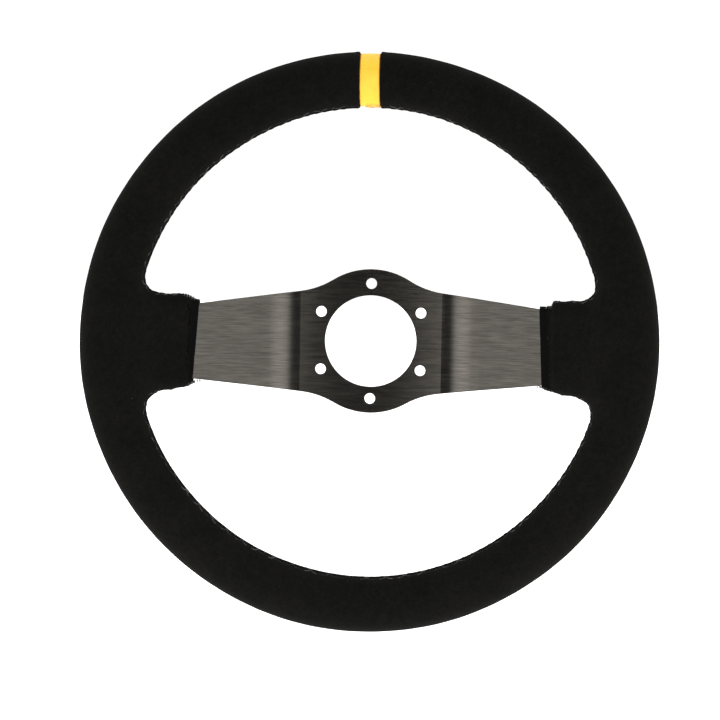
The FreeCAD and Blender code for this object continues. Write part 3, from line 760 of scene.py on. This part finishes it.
def make_camera():
    """Camera a little right of and above the wheel axis, rolled slightly."""
    centre = Vector((0.0, RIM_Y * MM, 0.0))
    azimuth, elevation, roll = (math.radians(turn) for turn in (3.0, 2.6, 0.95))
    distance, aside, below = 2.5, 0.0052, 0.0104
    back = Vector((math.sin(azimuth) * math.cos(elevation),
                   -math.cos(azimuth) * math.cos(elevation), math.sin(elevation)))
    right = Vector((math.cos(azimuth), math.sin(azimuth), 0.0))
    up = back.cross(right)
    right, up = (right * math.cos(roll) + up * math.sin(roll),
                 up * math.cos(roll) - right * math.sin(roll))
    aim = centre - right * aside - up * below
    position = centre + back * distance
    forward = (aim - position).normalized()
    right = (right - forward * right.dot(forward)).normalized()
    up = right.cross(forward)
    data = bpy.data.cameras.new("camera")
    data.sensor_width = 36.0
    data.lens = 207.4
    data.clip_end = 50.0
    camera = bpy.data.objects.new("camera", data)
    camera.matrix_world = Matrix.Translation(position) @ Matrix(
        (right, up, -forward)).transposed().to_4x4()
    bpy.context.scene.collection.objects.link(camera)
    bpy.context.scene.camera = camera


# Soft light in front of the wheel, in metres: a dark slit, a bright strip on each side of it
# and a pale wall beyond. The profile is brightness by distance from the slit's middle.
PANEL_PROFILE = [(0.0, 0.035), (0.04, 0.06), (0.11, 0.74), (0.18, 0.93), (0.27, 0.80),
                 (0.34, 0.57), (0.62, 0.50), (0.72, 0.85), (1.16, 0.85)]
PANEL_MIDDLE = -0.06
PANEL_Y = -1.0
PANEL_HALF_WIDTH, PANEL_HALF_HEIGHT = 1.10, 0.7
PANEL_LOW, PANEL_HIGH = 5.1, 1.5


def panel_glow():
    """Light given off by the panel: strips by place across it, and dimmer towards the top."""
    material = bpy.data.materials.new("graded_panel")
    material.use_nodes = True
    made = Nodes(material.node_tree)
    place = made.axes()
    shifted = made.math("SUBTRACT", (place, "X"), PANEL_MIDDLE)
    away = made.math("ABSOLUTE", (shifted, "Value"), 0.0)
    reach = PANEL_PROFILE[-1][0]
    share = made.span(away, "Value", 0.0, reach)
    stops = [(spot / reach, (level, level, level)) for spot, level in PANEL_PROFILE]
    strips = made.ramp(share, "Result", stops)
    level = made.span(place, "Z", -PANEL_HALF_HEIGHT, PANEL_HALF_HEIGHT, PANEL_LOW, PANEL_HIGH)
    glow = made.add("ShaderNodeEmission")
    made.link(strips, "Color", glow, "Color")
    made.link(level, "Result", glow, "Strength")
    output = made.add("ShaderNodeOutputMaterial")
    made.link(glow, "Emission", output, "Surface")
    return material


def make_light_panel():
    """Graded soft panel, out of the camera's sight, that the brushed metal mirrors."""
    wide, high = PANEL_HALF_WIDTH, PANEL_HALF_HEIGHT
    corners = [(-wide, PANEL_Y, -high), (wide, PANEL_Y, -high),
               (wide, PANEL_Y, high), (-wide, PANEL_Y, high)]
    mesh = bpy.data.meshes.new("light_panel")
    mesh.from_pydata(corners, [], [(3, 2, 1, 0)])
    mesh.materials.append(panel_glow())
    panel = bpy.data.objects.new("light_panel", mesh)
    panel.visible_camera = False
    panel.visible_shadow = False
    bpy.context.scene.collection.objects.link(panel)


def make_world():
    """White surround that is dimmer in front of the wheel, where the panel stands."""
    world = bpy.data.worlds.new("studio")
    bpy.context.scene.world = world
    world.use_nodes = True
    made = Nodes(world.node_tree)
    heading = made.axes("Generated")
    facing = made.span(heading, "Y", -0.62, -0.05, 0.06, 1.8, smooth=True)
    lit = made.add("ShaderNodeBackground")
    lit.inputs["Color"].default_value = (1.0, 0.995, 0.98, 1.0)
    made.link(facing, "Result", lit, "Strength")
    seen = made.add("ShaderNodeBackground")
    seen.inputs["Strength"].default_value = 1.1
    seen.inputs["Color"].default_value = (1.0, 1.0, 1.0, 1.0)
    path = made.add("ShaderNodeLightPath")
    choose = made.add("ShaderNodeMixShader")
    made.link(path, "Is Camera Ray", choose, "Fac")
    made.tree.links.new(lit.outputs[0], choose.inputs[1])
    made.tree.links.new(seen.outputs[0], choose.inputs[2])
    output = made.add("ShaderNodeOutputWorld")
    made.link(choose, "Shader", output, "Surface")


def make_floor():
    """Wide white sweep a little below the wheel."""
    low = -OUTER * MM - 0.09
    front, far, wide = -0.3, 8.0, 8.0
    mesh = bpy.data.meshes.new("floor")
    mesh.from_pydata([(-wide, front, low), (wide, front, low), (wide, far, low), (-wide, far, low)],
                     [], [(0, 1, 2, 3)])
    made = Finish("white_sweep")
    cloud = made.noise(2.0)
    tone = made.ramp(cloud, "Fac", [(0.3, (0.9, 0.9, 0.9)), (0.7, (0.93, 0.93, 0.93))])
    made.link(tone, "Color", made.shader, "Base Color")
    made.link(tone, "Color", made.shader, "Emission Color")
    made.set(Roughness=0.9, Emission_Strength=0.75)
    mesh.materials.append(made.material)
    floor = bpy.data.objects.new("floor", mesh)
    bpy.context.scene.collection.objects.link(floor)


# ---------------------------------------------------------------- build

def give(node, material):
    """Puts a material on a CAD node that is kept as it is."""
    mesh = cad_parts[node].data
    mesh.materials.clear()
    mesh.materials.append(material)


def make_grip():
    """Suede cover, foam and marker band, each as one closed mesh."""
    reach = OUTER + 2.0
    low, high = (-reach, RIM_Y - 16.0, -reach), (reach, -8.0, reach)
    cover_cell, foam_cell = ((0.8, 1.4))
    points, faces = net_mesh(cover_field, low, high, cover_cell)
    cover = make_piece("suede_grip_cover", points, faces, suede())
    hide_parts("suede_cover")
    points, faces = net_mesh(foam_field, low, high, foam_cell)
    foam = make_piece("moulded_foam", points, faces, foam_skin())
    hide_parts("foam_core")
    points, faces = net_mesh(marker_field, (-12.0, RIM_Y - 16.0, RING - 18.0),
                             (12.0, RIM_Y + 16.0, OUTER + 2.0), 0.6)
    band = make_piece("yellow_marker_band", points, faces, marker_leather())
    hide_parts("marker_band")


make_camera()
bpy.context.scene.view_settings.view_transform = "Standard"
make_world()
make_floor()
make_light_panel()
give("spoke_plate", brushed_plate())
give("rim_ring", plain_metal("mill_aluminium", (0.72, 0.72, 0.73), 0.4))
give("spoke_rivets", plain_metal("rivet_aluminium", (0.66, 0.66, 0.67), 0.35))
make_grip()
make_threads()
